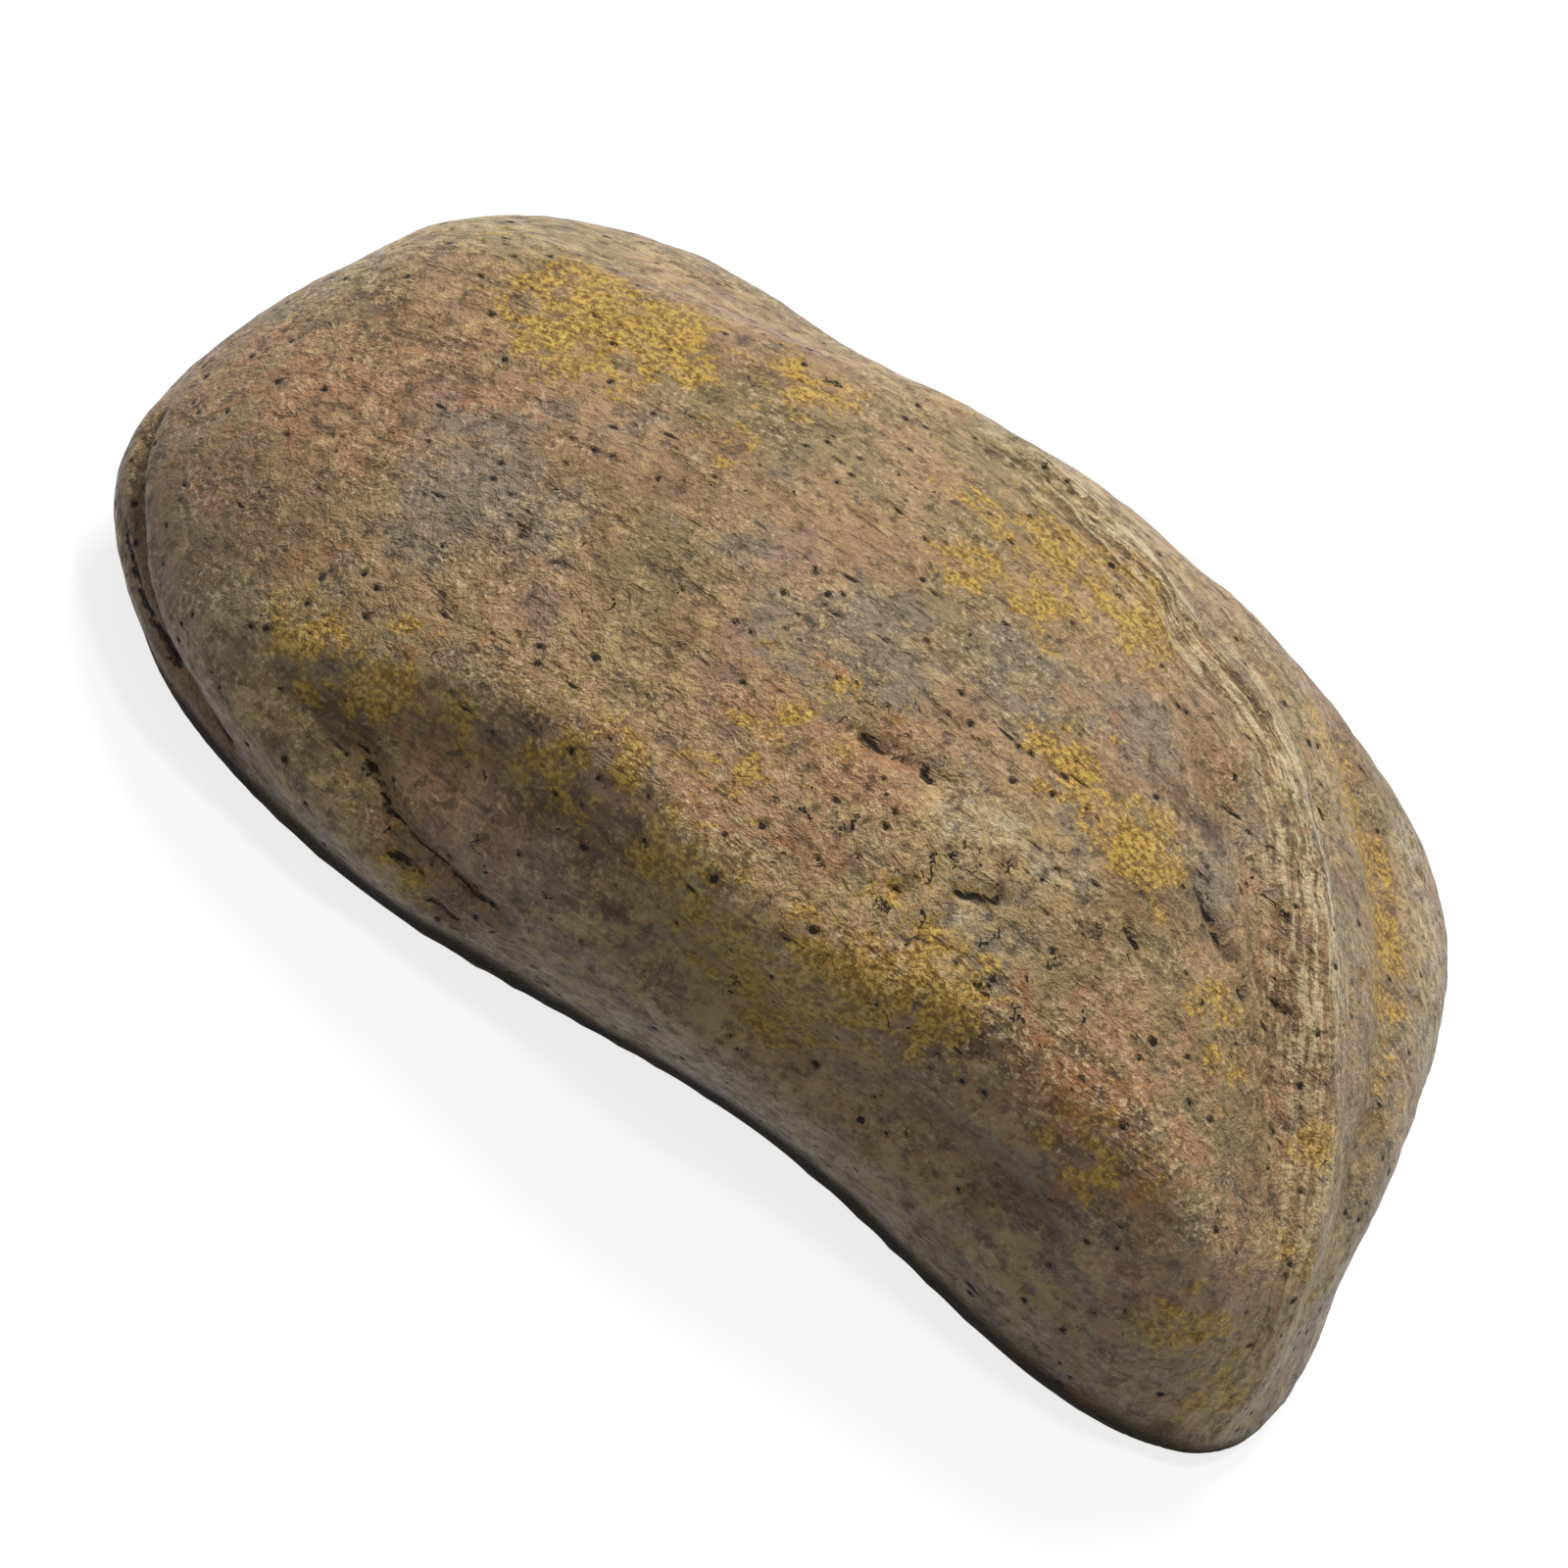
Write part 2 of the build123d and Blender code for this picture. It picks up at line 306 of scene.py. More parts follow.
# Places of the skin and the base: the coat of paint or kind of wear, some also carrying painted shade, highlight
# and sheen, how strong, how wide, and where.
# Those of the base lie at or below its level.
PATCHES = {
    "ochre": (
        (1.1, 5, (52, -31, -1)), (1.1, 5, (57, -27, -1)), (0.9, 5, (59, -20, -1)), (0.8, 3, (58, -8, -1)),
        (0.8, 3, (57.5, 4, -1)), (0.8, 3, (56, 15, -1)), (0.8, 3, (54, 25, -1)), (0.6, 4, (44, 38, -1)),
        (0.6, 3, (0, -33, -1)), (0.6, 3, (20, -31.5, -1)), (1.0, 9, (-35, -4, 36)), (1.0, 8, (-30, -3, 37)),
        (0.6, 7, (-40, 0, 34)), (0.8, 6, (-19, 1, 40)), (0.6, 5, (-20, -11, 38)), (0.8, 6, (1, -1, 41)),
        (0.9, 6, (5, 1, 41)), (0.9, 6, (10, 1, 41)), (0.9, 5, (14, 0, 41)), (0.8, 6, (8, -5, 40)),
        (0.7, 6, (1, -7, 40)), (1.0, 5, (-35, -35, 18)), (0.8, 6, (-29, -37, 20)), (0.7, 5, (-22, -37, 22)),
        (0.8, 4, (-10, -37, 28)), (0.7, 4, (-4, -36, 31)), (0.9, 5, (-4, -40, 24)), (0.9, 5, (1, -40, 23)),
        (1.0, 6, (6, -40, 22)), (1.1, 7, (12, -39, 25)), (1.0, 6, (18, -37, 27)), (0.9, 5, (16, -18, 38)),
        (1.0, 5, (22, -20, 37)), (1.0, 5, (25, -19, 37)), (0.8, 4, (38, -27, 31)), (0.8, 4, (35, -24, 32)),
        (0.7, 4, (49, -22, 25)), (0.8, 4, (52, -27, 20)), (0.8, 5, (48, -35, 16)), (1.1, 5, (32, 16, 32)),
        (1.1, 5, (37, 15, 30)), (1.1, 5, (41, 13, 28)), (1.1, 5, (45, 8, 26)), (1.0, 5, (47, 2, 26)),
        (0.5, 8, (-46, 3, 32)), (0.5, 9, (50, -5, 25)), (0.6, 5, (-20, -39, 7)), (0.6, 7, (34, -38, 24)),
        (0.9, 8, (9, -40, 19)), (0.8, 6, (-14, -39, 25)), (0.6, 8, (-2, -30, 36)), (0.6, 14, (-20, 30, 22)),
        (0.6, 14, (25, 36, 14)), (0.7, 10, (-52, 12, 14)), (0.7, 9, (57, 5, 8)), (0.8, 6, (53, -31, 8)),
        (0.7, 6, (55, -24, 15)),
    ),
    "rust": (
        (0.9, 6, (-27, -36, 22)), (0.9, 6, (-36, -34, 18)), (0.7, 5, (-14, -37, 27)), (0.8, 6, (2, -38, 27)),
        (0.9, 6, (24, -37, 28)), (1.0, 6, (31, -36, 27)), (0.9, 6, (38, -36, 25)), (0.8, 5, (35, -38, 21)),
        (0.7, 6, (45, -36, 18)), (0.6, 8, (-33, 8, 35)), (0.7, 5, (-40, -31, 22)), (0.6, 7, (14, -38, 26)),
        (0.7, 7, (51, -33, 8)), (0.7, 12, (20, 34, 22)), (0.6, 12, (-40, 24, 16)),
    ),
    # pale: a pale coat on the shelf, and painted sheen along the far rim of the top and on the right end's rim
    "pale_and_sheen": (
        (0.9, 4, (-5, 11, 40)), (1.0, 4, (3, 12, 40)), (1.0, 4, (9, 9, 40)), (0.9, 4, (15, 8, 39)),
        (0.8, 4, (22, 8, 37)), (0.6, 4, (29, 5, 35.5)), (1.0, 6, (44, 21, 24)), (1.0, 6, (48, 20, 21)),
        (1.0, 6, (51, 18, 19)), (0.9, 6, (53, 7, 20)), (0.8, 5, (54, -5, 21)), (0.9, 7, (12, -28, 36)),
        (0.9, 7, (16, -27, 36)), (0.9, 6, (15, -31, 34)), (0.8, 6, (20, -27, 35)), (0.8, 5, (9, -29, 36)),
        (0.7, 9, (-46, 3, 33)), (0.7, 9, (-52, -4, 28)), (0.7, 9, (5, 20, 37)), (0.6, 9, (-12, 20, 35)),
    ),
    "grey": (
        (0.9, 7, (10, -14, 40)), (0.9, 7, (17, -11, 39)), (0.7, 6, (29, -15, 36)), (1.0, 11, (-32, -25, 31)),
        (0.9, 9, (-2, -21, 38)), (0.8, 8, (13, -28, 35)), (0.7, 8, (16, -33, 32)), (0.7, 12, (-15, -15, 38)),
        (0.8, 12, (36, -38, 14)), (0.8, 10, (-8, -40, 14)), (0.7, 9, (30, -8, 36)), (0.8, 14, (0, 34, 18)),
    ),
    "rose": (
        (0.9, 8, (30, -34, 29)), (0.9, 8, (36, -33, 29)), (0.8, 8, (42, -38, 18)), (0.6, 5, (24, -5, 38)),
        (0.6, 5, (31, -9, 36)), (0.6, 5, (38, -15, 33)), (0.6, 5, (44, -22, 28)), (0.9, 12, (-49, -20, 25)),
        (0.9, 10, (3, -32, 34)), (0.9, 9, (32, -37, 26)), (0.8, 9, (-2, -33, 34)), (0.7, 12, (-40, -15, 32)),
        (0.6, 10, (20, -10, 38)), (0.6, 10, (-20, -38, 16)), (0.8, 14, (30, 30, 18)),
    ),
    # umber: a dark brown wash, which also paints shade on the near flank under the crest
    "umber_and_shade": (
        (0.9, 6, (23, -38, 26)), (0.9, 6, (29, -38, 24)), (0.9, 6, (34, -38, 22)), (0.8, 6, (34, -39, 17)),
        (0.9, 6, (-31, -38, 15)), (0.9, 6, (-23, -39, 19)), (0.9, 6, (-15, -39, 22)), (0.8, 6, (-8, -40, 21)),
        (0.6, 6, (0, -41, 18)), (0.4, 7, (8, -40, 15)), (0.4, 7, (17, -39, 14)), (0.5, 8, (34, -38, 8)),
        (0.5, 12, (-45, -10, 30)), (0.6, 7, (47, -26, 26)), (0.7, 7, (34, -16, 34)), (0.6, 7, (26, -10, 37)),
        (0.7, 5, (41, -20, 30.5)), (0.7, 4, (45, -24, 27)), (0.7, 4, (48.5, -27, 23.5)),
        (0.8, 8, (-54, -20, 10)), (0.9, 9, (7, 36, -1)), (1.0, 9, (21, 36, -1)), (0.9, 9, (33, 38, -1)),
        (0.9, 8, (46, 36, -1)), (0.5, 7, (-50, 16, -1)),
    ),
    # tan: a light tan coat, which also paints a highlight on the top of the left end
    "tan_and_highlight": (
        (0.9, 5, (-37, -37, 9)), (0.9, 5, (-29, -38, 8)), (0.8, 5, (-22, -38, 6)), (0.8, 12, (-45, 6, 32)),
        (0.7, 12, (-32, 11, 34)), (0.7, 8, (8, -32, 34)), (0.6, 10, (-15, -32, 31)), (0.8, 10, (30, 6, 36)),
        (0.8, 14, (10, 15, 39)), (0.7, 12, (-12, 14, 37)), (1.0, 9, (14, -31, 34)), (0.9, 7, (55, -22, 18)),
        (0.9, 12, (-50, 4, 26)), (0.8, 10, (45, 14, 24)), (0.9, 12, (0, -38, 12)), (0.9, 12, (22, -37, 10)),
        (0.9, 8, (6, -40, 13)), (0.9, 8, (36, -38, 11)), (0.9, 9, (-18, -20, -1)), (1.0, 9, (-3, -24, -1)),
        (1.0, 9, (14, -25, -1)), (0.9, 8, (28, -26, -1)), (0.9, 8, (40, 26, -1)), (0.7, 10, (-28, 23, -1)),
        (0.8, 9, (-36, 28, -1)), (0.6, 8, (-8, 31, -1)),
    ),
    "cracked": (
        (1.0, 9, (5, -29, 36)), (1.1, 8, (14, -32, 33)), (0.9, 8, (24, -31, 33)), (0.8, 9, (-13, -17, 38)),
        (0.7, 8, (32, -18, 35)), (0.7, 8, (-19, 0, 40)), (0.8, 9, (-27, -38, 13)), (0.8, 9, (-14, -39, 12)),
        (0.6, 10, (-23, -29, 31)), (0.6, 10, (14, -39, 24)), (0.7, 9, (46, -24, 26)),
    ),
    "cream": (
        (1.0, 4, (-49, 0, 0)), (1.0, 4, (-45, 4, 0)), (0.9, 4, (-42, 7, 0)), (0.9, 4, (43, -11, 0)),
        (1.0, 4, (47, -9, 0)), (0.9, 4, (51, -6, 0)), (1.0, 4, (-8, 20, 0)), (1.0, 4, (-2, 21, 0)),
        (0.9, 4, (5, 21, 0)), (0.8, 4, (0, 26, 0)), (0.9, 4, (8, 28, 0)),
    ),
}

# The flat base: a bead of paint that stands proud of it, and a split near one corner.
BASE_BEAD = (
    (-8, 20, 0), (-2, 22, 0), (4, 22, 0), (9, 22, 0), (14, 27, 0), (20, 29, 0), (25, 29, 0), (28, 31, 0),
    (27, 33, 0), (23, 34, 0), (17, 34, 0), (11, 33, 0), (5, 31, 0),
)
BASE_SPLIT = ((46, 35, 0), (49, 31, 0), (51, 27, 0), (53, 22, 0))

skin_voxel = 0.66
skin_rise = 3.0  # from the base up to where the skin is fully rough
crack_width, crack_depth = 0.75, 0.6
bead_width, bead_height = 0.9, 0.3
split_width, split_depth = 0.6, 0.5
rope_width, rope_skirt = 3.4, 9.0  # how far out its grooves run, strongly and faintly
rope_onset = 12.0  # along it, until its grooves are full
rope_calm, rope_fade = 52.0, 16.0  # along it, where they begin to fade and over what length
rope_stretch = 0.10  # how short its pattern's own lengths are along it
base_level = 0.35  # the faces below this carry the base's paint
# how high the painted shade along the bottom edge reaches, and over what height it fades
foot_shade_height, foot_shade_blur = 5.0, 3.0
pocket_low, pocket_high = np.array((-23.2, -20.6, -1.0)), np.array((35.6, 17.8, 21.6))

key_voxel = 0.17
key_middle = 1.0  # half its thickness
key_field = 0.85  # from its middle to the bow's sunk field
key_turn = 17.5  # degrees


def follow(points, normals, path):
    """For each point: its gap to the path, how far along it lies, the path's length, and the side it is on."""
    lengths = np.linalg.norm(path[1:] - path[:-1], axis=1)
    starts = np.concatenate(([0.0], np.cumsum(lengths)))
    gaps = np.full(len(points), np.inf)
    along = np.zeros(len(points))
    side = np.ones(len(points))
    for number, (start, end) in enumerate(zip(path[:-1], path[1:])):
        run = end - start
        share = np.clip(((points - start) @ run) / (run @ run), 0, 1)
        off = points - start - share[:, None] * run
        gap = np.linalg.norm(off, axis=1)
        nearer = gap < gaps
        gaps[nearer] = gap[nearer]
        along[nearer] = (starts[number] + share * lengths[number])[nearer]
        side[nearer] = np.sign((np.cross(run, off) * normals).sum(1))[nearer]
    return gaps, along, starts[-1], side


def laid(points, normals, path, step=2.0):
    """The path with a place at about every step, each drawn straight onto the surface."""
    path = np.array(path, float)
    places = [path[:1]]
    for start, end in zip(path[:-1], path[1:]):
        number = max(1, round(np.linalg.norm(end - start) / step))
        places.append(start + (end - start) * np.linspace(1 / number, 1, number)[:, None])
    places = np.concatenate(places)
    for place in places:
        nearest = np.argmin(((points - place) ** 2).sum(1))
        place += normals[nearest] * ((points[nearest] - place) @ normals[nearest])
    return places


def nearness(points, normals, path, width):
    """How near each point lies to the path, 1 on it and 0 far off, easing out at its ends."""
    gaps, along, whole, _ = follow(points, normals, laid(points, normals, path))
    ends = np.clip(np.minimum(along, whole - along) / min(whole * 0.3, width * 3), 0, 1)
    return np.exp(-((gaps / width) ** 2)) * (0.25 + 0.75 * ends * ends * (3 - 2 * ends))


def falloff(points, centre, reach):
    """1 at the centre, easing to 0 beyond its reach."""
    return np.exp(-((np.linalg.norm(points - np.array(centre), axis=1) / reach) ** 2))


def in_pocket(points):
    return np.all((points > pocket_low) & (points < pocket_high), axis=1)


def weathering():
    """The tree that roughens the skin: lumps, grain, pits and the rope's long grooves."""
    tree, given, result, place = surface_tree("weathering", {
        "Lump Size": 14.0, "Lump Height": 1.3, "Grain Size": 2.6, "Grain Height": 0.30,
        "Groove Spacing": 1.7, "Groove Depth": 1.1, "Pit Spacing": 7.0, "Pit Depth": 0.5, "Seed": 3.0,
    })

    def swell(size, height, where=place, detail=3.0):
        value = noise(tree, where, calc(tree, "DIVIDE", 1.0, given[size]), detail, 0.55)
        return times(tree, calc(tree, "SUBTRACT", value, 0.5), given[height])

    lumps = swell("Lump Size", "Lump Height")
    grain = swell("Grain Size", "Grain Height")
    grooves = swell("Groove Spacing", "Groove Depth", named(tree, "run", "FLOAT_VECTOR"), 2.0)
    grooves = times(tree, grooves, named(tree, "grooved"))
    warped = vector(tree, "ADD", place, noise(tree, place, 0.3, output=1))
    distance, dice = cells(tree, warped, given["Pit Spacing"])[0:2]
    chosen = calc(tree, "GREATER_THAN", add(tree, "FunctionNodeSeparateColor", {0: dice}).outputs[0], 0.45)
    pits = times(tree, ease(tree, distance, 0.17, 0.03), given["Pit Depth"], chosen)
    height = calc(tree, "ADD", calc(tree, "ADD", lumps, grain), calc(tree, "SUBTRACT", grooves, pits))
    raise_surface(tree, given, result, times(tree, height, named(tree, "skin")))
    return tree


def rock_skin(materials):
    """The painted casting: the CAD's form, remeshed evenly, then lumps, ridges, cracks and grain."""
    rock = even_copy("rock_casting", "rock_skin", skin_voxel, 3)
    mesh = rock.data
    points, normals = read_points(mesh)
    inside = in_pocket(points)
    skin = np.where(inside, 0.0, np.clip(points[:, 2] / skin_rise, 0, 1))

    for centre, reach, move in PUSHES:
        points = points + (~inside * falloff(points, centre, reach))[:, None] * np.array(move)
    height = sum(amount * nearness(points, normals, path, width) for amount, width, path in RIDGES)
    crack = np.max([nearness(points, normals, path, crack_width) for path in (*CRACKS, BASE_SPLIT)], axis=0)
    height -= crack_depth * crack
    points = points + (height * skin)[:, None] * normals
    low = ~inside & (points[:, 2] < 0.45)
    points[low, 2] = np.maximum(points[low, 2], 0.0)
    # the base's face draws in round its bead, so that nothing reaches below the ground
    under = (points[:, 2] < 0.1) & (normals[:, 2] < -0.95)
    bead = nearness(points, normals, BASE_BEAD, bead_width)
    split = nearness(points, normals, BASE_SPLIT, split_width)
    points[under, 2] += (bead_height * (1 - bead) + split_depth * split)[under]
    mesh.vertices.foreach_set("co", (points * MM).ravel())

    # the rope's long grooves follow it, so their pattern lies along and across it
    gaps, along, _, side = follow(points, normals, laid(points, normals, ROPE))
    grooved = np.exp(-((gaps / rope_width) ** 2)) + 0.45 * np.exp(-((gaps / rope_skirt) ** 2))
    fading = 1 - 0.5 * np.clip((along - rope_calm) / rope_fade, 0, 1)
    store(mesh, "grooved", np.clip(grooved, 0, 1) * np.clip(along / rope_onset, 0, 1) * fading)
    store(mesh, "run", np.stack((along * rope_stretch, gaps * side, np.zeros_like(along)), 1), "FLOAT_VECTOR")
    for coat, spots in PATCHES.items():
        amounts = [strength * falloff(points, centre, reach) for strength, reach, centre in spots]
        store(mesh, coat, np.max(amounts, axis=0))
    store(mesh, "skin", skin)
    store(mesh, "crack", crack)
    store(mesh, "bead", bead)
    # painted shade in the hollows: how far each point was pushed in
    store(mesh, "hollow", np.clip(-height / 1.2, 0, 1))
    store(mesh, "crest", np.clip(height, 0, 1))
    # painted shade along the bottom edge, standing in for the shadow where the rock meets the ground, darkest
    # along the near side
    near = np.clip(0.6 - normals[:, 1] * 0.7, 0.15, 1)
    store(mesh, "foot_shade", np.clip((foot_shade_height - points[:, 2]) / foot_shade_blur, 0, 1) * near)

    roughen(rock, weathering(), materials["skin"])
    mesh = rock.data
    mesh.materials.clear()
    for name in ("skin", "base", "pocket"):
        mesh.materials.append(materials[name])
    centres = np.empty(len(mesh.polygons) * 3)
    mesh.polygons.foreach_get("center", centres)
    centres = centres.reshape(-1, 3) / MM
    slots = np.where(centres[:, 2] < base_level, 1, np.where(in_pocket(centres), 2, 0))
    mesh.polygons.foreach_set("material_index", slots.astype(np.int32))
    mesh.shade_smooth()
    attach(rock, "rock")
    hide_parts("rock_casting")


# ---- effects that the materials share ----

def effect(name, sizes, *results):
    """A shader node group that is given a place and sizes."""
    outputs = dict.fromkeys(results, "NodeSocketFloat")
    return new_group(name, "ShaderNodeTree", {"Place": "NodeSocketVector"}, sizes, outputs)


def pores():
    """Small irregular pin holes: a mask for their colour and a wider dip for their shape."""
    tree, given, result = effect("pores", {"Spacing": 2.0, "Radius": 0.2, "Share": 0.4}, "Mask", "Dip")
    bend = vector(tree, "SCALE", noise(tree, given["Place"], 1.5, 3.0, 0.65, output=1), 0.6)
    distance, dice = cells(tree, vector(tree, "ADD", given["Place"], bend), given["Spacing"])[0:2]
    dice = add(tree, "ShaderNodeSeparateColor", {0: dice}).outputs
    radius = times(tree, given["Radius"], calc(tree, "MULTIPLY_ADD", dice[1], 0.9, 0.35))
    edge = calc(tree, "SUBTRACT", radius, distance)
    there = calc(tree, "LESS_THAN", dice[0], given["Share"])
    tree.links.new(times(tree, ease(tree, edge, 0.0, 0.035), there), result.inputs["Mask"])
    tree.links.new(times(tree, ease(tree, edge, -0.12, 0.08), there), result.inputs["Dip"])
    return tree


def cracks():
    """Thin wandering cracks between cells."""
    tree, given, result = effect("cracks", {"Spacing": 4.0, "Width": 0.05, "Share": 0.4}, "Mask")
    bend = vector(tree, "SCALE", noise(tree, given["Place"], 0.6, 4.0, 0.6, output=1), 3.5)
    place = vector(tree, "ADD", given["Place"], bend)
    border = cells(tree, place, given["Spacing"], feature="DISTANCE_TO_EDGE")[0]
    near = ease(tree, calc(tree, "SUBTRACT", given["Width"], border), 0.0, 0.03)
    broken = calc(tree, "LESS_THAN", noise(tree, given["Place"], 0.45, 3.0), given["Share"])
    tree.links.new(times(tree, near, broken), result.inputs["Mask"])
    return tree


def speckle():
    """Fine stone grain, as a value about one half."""
    tree, given, result = effect("speckle", {"Size": 0.8}, "Value")
    scale = calc(tree, "DIVIDE", 1.0, given["Size"])
    tree.links.new(noise(tree, given["Place"], scale, 4.0, 0.65), result.inputs["Value"])
    return tree


def blotches():
    """Sponged paint: a mask that is solid where Amount is 1 and breaks up below it."""
    tree, given, result = effect("blotches", {"Size": 6.0, "Amount": 0.5, "Softness": 0.1}, "Mask")
    value = noise(tree, given["Place"], calc(tree, "DIVIDE", 1.0, given["Size"]), 6.0, 0.72, 0.3)
    level = calc(tree, "SUBTRACT", 0.70, times(tree, given["Amount"], 0.36))
    top = calc(tree, "ADD", level, given["Softness"])
    tree.links.new(ease(tree, value, level, top), result.inputs["Mask"])
    return tree


def use(tree, group, **inputs):
    """Places an effect in a material: gives its one output, or all of them."""
    outputs = add(tree, "ShaderNodeGroup", inputs, node_tree=group).outputs
    return outputs[0] if len(outputs) == 1 else outputs[:]


# ---- materials ----

def new_material(name):
    """An empty material: itself, its tree, each place on the piece in millimetres, and its shader."""
    material = bpy.data.materials.new(name)
    material.use_nodes = True
    tree = material.node_tree
    tree.nodes.clear()
    place = vector(tree, "SCALE", add(tree, "ShaderNodeTexCoord").outputs["Object"], 1 / MM)
    shader = add(tree, "ShaderNodeBsdfPrincipled")
    add(tree, "ShaderNodeOutputMaterial", {0: shader.outputs[0]})
    return material, tree, place, shader


def attribute(tree, name, output="Fac"):
    """A value that was stored for each point, read in a material."""
    return add(tree, "ShaderNodeAttribute", attribute_name=name).outputs[output]


def finish_shader(tree, shader, colour, roughness, height, strength, distance):
    """Gives the shader its colour, its roughness and bumps of a height, scaled by a distance in millimetres."""
    fill(tree, shader.inputs["Base Color"], colour)
    fill(tree, shader.inputs["Roughness"], roughness)
    bump = add(tree, "ShaderNodeBump", {"Strength": strength, "Distance": distance * MM, "Height": height})
    tree.links.new(bump.outputs[0], shader.inputs["Normal"])


def skin_paint(groups):
    """The skin: sponged coats over a brown ground, dark washes, painted shade in the hollows and along the bottom
    edge, painted highlights and sheen in some coats, flecks, fibres, pin holes and cracks.
    """
    material, tree, place, shader = new_material("stone_paint")
    # cream lies only on the base
    names = [*(name for name in PATCHES if name != "cream"), "hollow", "crest", "grooved", "foot_shade", "crack"]
    coats = {name: attribute(tree, name) for name in names}
    stretched = vector(tree, "MULTIPLY", place, (0.38, 1.0, 1.0))
    streaky = vector(tree, "MULTIPLY", place, (0.26, 1.0, 1.0))
    along_rope = vector(tree, "ADD", noise(tree, place, 0.35, output=1), attribute(tree, "run", "Vector"))

    grain = use(tree, groups["speckle"], Place=place, Size=1.3)
    fine = use(tree, groups["speckle"], Place=place, Size=0.5)
    fibres = use(tree, groups["speckle"], Place=along_rope, Size=0.7)
    medium = noise(tree, place, 0.16, 4.0, 0.6)
    wide = noise(tree, place, 0.055, 3.0, 0.6)
    hue = noise(tree, place, 0.085, 3.0, 0.6)
    streaks = ease(tree, noise(tree, streaky, 0.55, 4.0, 0.65), 0.53, 0.68)
    dabs = ease(tree, noise(tree, place, 0.75, 5.0, 0.7), 0.57, 0.66)
    dabbed = ease(tree, noise(tree, place, 0.10, 2.0), 0.42, 0.58, 0.2, 1.0)
    dents = noise(tree, place, 0.55, 5.0, 0.70, 0.5)
    thick = ease(tree, medium, 0.42, 0.58, 0.15, 1.0)
    light = times(tree, ease(tree, fine, 0.54, 0.62), thick)

    def sponge(size, coat, share, least, softness, where=place):
        amount = calc(tree, "MULTIPLY_ADD", coats[coat], share, least)
        return use(tree, groups["blotches"], Place=where, Size=size, Amount=amount, Softness=softness)

    ochre = mix(tree, ease(tree, fine, 0.40, 0.60), paint(122, 89, 20), paint(204, 166, 70))
    # each coat in turn: where it lies, how thick it is and its colour
    layers = (
        # broad tones, then the sponged coats
        (ease(tree, hue, 0.48, 0.60), 0.62, paint(130, 115, 78)),
        (ease(tree, hue, 0.44, 0.34), 0.72, paint(150, 117, 98)),
        (sponge(9.0, "grey", 0.75, 0.30, 0.16), 0.85, paint(130, 115, 96)),
        (sponge(6.0, "rose", 0.66, 0.30, 0.16), 0.80, paint(172, 124, 90)),
        # tan: a light tan coat, with a painted highlight on the top of the left end
        (sponge(2.6, "tan_and_highlight", 0.50, 0.38, 0.14), 0.75, paint(186, 156, 102)),
        # umber: a dark brown wash, with painted shade on the flank under the crest
        (sponge(3.4, "umber_and_shade", 0.62, 0.30, 0.14, stretched), 0.78, paint(84, 58, 32)),
        (sponge(5.0, "ochre", 0.85, 0.10, 0.30), 0.60, paint(112, 92, 44)),
        (sponge(3.0, "rust", 0.85, 0.05, 0.20), 0.75, paint(156, 102, 52)),
        # dark wash that has settled in streaks and dabs
        (streaks, 0.40, paint(70, 50, 30)),
        (times(tree, dabs, dabbed), 0.42, paint(60, 44, 27)),
        # a pale coat, with painted sheen along the far rims
        (sponge(2.2, "pale_and_sheen", 0.80, 0.06, 0.24), 0.72, paint(206, 190, 158)),
        # small dents: darker in their middles and paler at their lips
        (ease(tree, dents, 0.45, 0.34), 0.62, paint(56, 40, 24)),
        (ease(tree, dents, 0.55, 0.66), 0.45, paint(200, 170, 120)),
        # flecks, thick in some places and thin in others
        (light, 0.56, paint(212, 188, 146)),
        (ease(tree, grain, 0.45, 0.36), 0.52, paint(54, 39, 24)),
        (times(tree, ease(tree, fine, 0.44, 0.36), thick), 0.45, paint(60, 44, 27)),
        # ochre, lacy at its borders
        (sponge(2.8, "ochre", 0.86, 0.15, 0.12), 0.84, ochre),
        # pale and dark fibres on the rope, pale crests, painted shade in the hollows, and a near-black painted
        # shadow along the bottom edge
        (times(tree, ease(tree, fibres, 0.48, 0.60), coats["grooved"]), 0.84, paint(220, 200, 158)),
        (times(tree, ease(tree, fibres, 0.47, 0.38), coats["grooved"]), 0.75, paint(78, 60, 38)),
        (times(tree, coats["crest"], light), 0.6, paint(196, 172, 128)),
        (times(tree, coats["hollow"], ease(tree, medium, 0.25, 0.60, 0.9, 0.4)), 0.10, paint(66, 50, 38)),
        (times(tree, coats["foot_shade"], ease(tree, medium, 0.30, 0.55, 0.8, 1.0)), 1.0, paint(18, 14, 10)),
    )
    colour = mix(tree, ease(tree, wide, 0.38, 0.62), paint(132, 102, 69), paint(170, 136, 96))
    for mask, strength, tone in layers:
        colour = mix(tree, times(tree, mask, strength), colour, tone)

